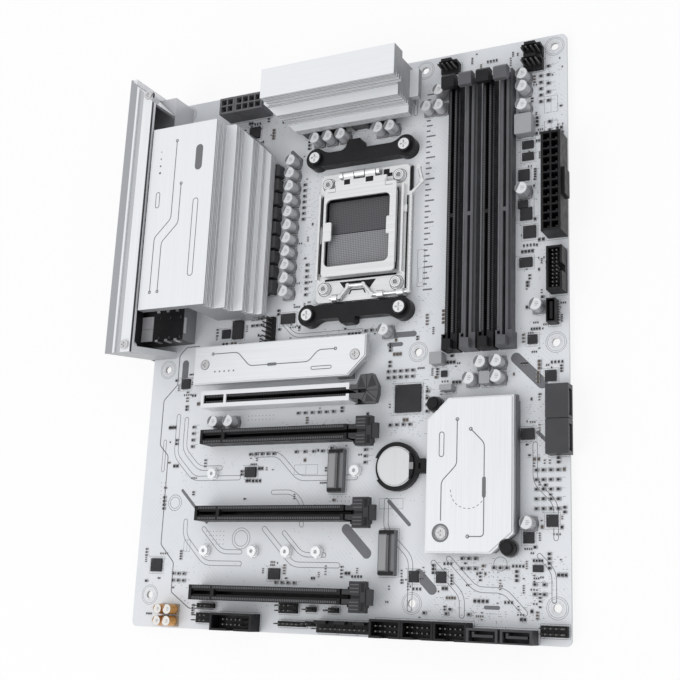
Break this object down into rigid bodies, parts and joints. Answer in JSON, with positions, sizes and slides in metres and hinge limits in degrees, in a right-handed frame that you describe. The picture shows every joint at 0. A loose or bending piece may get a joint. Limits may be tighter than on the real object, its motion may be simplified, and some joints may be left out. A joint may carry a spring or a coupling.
{
  "type": "motherboard",
  "caption": "Full-size desktop motherboard with an opening processor socket, memory and expansion slots with moving latches, finned heatsinks and a shrouded rear port panel.",
  "frame": {"origin": "centre of the rectangle of four standoff holes (rear and middle columns, bottom and middle rows), at the board's underside", "axes": "+X from the rear port edge towards the front edge, +Y towards the top edge with the processor power sockets, +Z out of the component side"},
  "size_m": [0.2559, 0.305, 0.0468],
  "materials": {
    "board_laminate": "white solder mask over glass laminate, satin",
    "solder": "dull tinned solder",
    "black_plastic": "fine-grained black nylon",
    "grey_plastic": "dark grey nylon",
    "contact_field": "grey field of gilt spring contacts",
    "socket_steel": "bright stamped stainless steel",
    "wire_steel": "nickelled spring wire",
    "screw_steel": "zinc-plated steel",
    "black_steel": "black painted steel",
    "white_aluminium": "bead-blasted and brushed silver-white anodised aluminium",
    "grey_aluminium": "grey anodised aluminium",
    "thermal_pad": "soft blue-grey silicone",
    "port_shell": "tinned connector shell",
    "jack_brass": "gilt brass",
    "button_plastic": "pale grey plastic",
    "push_pin": "black nylon",
    "cell_steel": "bright nickelled steel",
    "can_aluminium": "bright drawn aluminium",
    "can_gold": "gold anodised aluminium",
    "choke_body": "moulded grey powdered-iron",
    "chip_resin": "moulded black resin",
    "small_ceramic": "fired ceramic with tinned ends"
  },
  "bodies": {
    "board": {"pcb": "board_laminate", "solder_tails": "solder", "socket_housing": "black_plastic", "dimm_slots_black": "black_plastic", "pcie_slot_1": "black_plastic", "pcie_slot_2": "black_plastic", "pcie_slot_3": "black_plastic", "pcie_slot_4": "black_plastic", "atx_power_socket": "black_plastic", "cpu_power_sockets": "black_plastic", "usb_headers": "black_plastic", "sata_ports": "black_plastic", "fan_headers": "black_plastic", "box_headers": "black_plastic", "battery_holder": "black_plastic", "audio_jacks": "black_plastic", "cooler_brackets": "black_plastic", "button_switch": "black_plastic", "dimm_slots_grey": "grey_plastic", "m2_sockets": "grey_plastic", "socket_contacts": "contact_field", "socket_frame": "socket_steel", "pcie_slot_shield": "socket_steel", "socket_screws": "screw_steel", "bracket_screws": "screw_steel", "cover_screws": "screw_steel", "heatsink_screws": "screw_steel", "m2_standoffs": "screw_steel", "socket_backplate": "black_steel", "io_shield": "black_steel", "vrm_heatsink_left": "white_aluminium", "vrm_heatsink_top": "white_aluminium", "m2_heatsink": "white_aluminium", "chipset_cover": "white_aluminium", "io_shroud": "white_aluminium", "chipset_base": "grey_aluminium", "thermal_pads": "thermal_pad", "usb_ports": "port_shell", "lan_port": "port_shell", "display_ports": "port_shell", "antenna_jacks": "jack_brass", "header_pins": "jack_brass", "chipset_push_pins": "push_pin", "coin_cell": "cell_steel", "capacitors": "can_aluminium", "audio_capacitors": "can_gold", "chokes": "choke_body", "chips": "chip_resin", "passives": "small_ceramic"},
    "memory_latch_1": {"dimm_latch_1": "black_plastic"},
    "memory_latch_2": {"dimm_latch_2": "grey_plastic"},
    "memory_latch_3": {"dimm_latch_3": "black_plastic"},
    "memory_latch_4": {"dimm_latch_4": "grey_plastic"},
    "slot_clip_1": {"pcie_clip_1": "grey_plastic"},
    "slot_clip_2": {"pcie_clip_2": "black_plastic"},
    "slot_clip_3": {"pcie_clip_3": "black_plastic"},
    "slot_clip_4": {"pcie_clip_4": "black_plastic"},
    "load_plate": {"socket_load_plate": "socket_steel"},
    "load_lever": {"socket_lever": "wire_steel"},
    "update_button": {"flash_button": "button_plastic"}
  },
  "joints": [
    {"name": "memory_latch_1_hinge", "type": "hinge", "parent": "board", "child": "memory_latch_1", "pos_m": [0.09747, 0.20446, 0.0048], "axis": [-1, 0, 0], "range_deg": [0, 25]},
    {"name": "memory_latch_2_hinge", "type": "hinge", "parent": "board", "child": "memory_latch_2", "pos_m": [0.10697, 0.20446, 0.0048], "axis": [-1, 0, 0], "range_deg": [0, 25]},
    {"name": "memory_latch_3_hinge", "type": "hinge", "parent": "board", "child": "memory_latch_3", "pos_m": [0.11647, 0.20446, 0.0048], "axis": [-1, 0, 0], "range_deg": [0, 25]},
    {"name": "memory_latch_4_hinge", "type": "hinge", "parent": "board", "child": "memory_latch_4", "pos_m": [0.12597, 0.20446, 0.0048], "axis": [-1, 0, 0], "range_deg": [0, 25]},
    {"name": "slot_clip_1_hinge", "type": "hinge", "parent": "board", "child": "slot_clip_1", "pos_m": [0.05157, 0.04136, 0.0056], "axis": [0, 1, 0], "range_deg": [0, 18]},
    {"name": "slot_clip_2_hinge", "type": "hinge", "parent": "board", "child": "slot_clip_2", "pos_m": [0.05157, 0.02104, 0.0056], "axis": [0, 1, 0], "range_deg": [0, 18]},
    {"name": "slot_clip_3_hinge", "type": "hinge", "parent": "board", "child": "slot_clip_3", "pos_m": [0.05157, -0.0196, 0.0056], "axis": [0, 1, 0], "range_deg": [0, 18]},
    {"name": "slot_clip_4_hinge", "type": "hinge", "parent": "board", "child": "slot_clip_4", "pos_m": [0.05157, -0.06024, 0.0056], "axis": [0, 1, 0], "range_deg": [0, 18]},
    {"name": "load_plate_hinge", "type": "hinge", "parent": "board", "child": "load_plate", "pos_m": [0.04217, 0.16266, 0.007], "axis": [-1, 0, 0], "range_deg": [0, 115]},
    {"name": "load_lever_hinge", "type": "hinge", "parent": "board", "child": "load_lever", "pos_m": [0.04217, 0.09386, 0.0058], "axis": [1, 0, 0], "range_deg": [0, 120]},
    {"name": "update_button_travel", "type": "slide", "parent": "board", "child": "update_button", "axis": [1, 0, 0], "range_m": [0, 0.0008], "stiffness_N_per_m": 300}
  ]
}
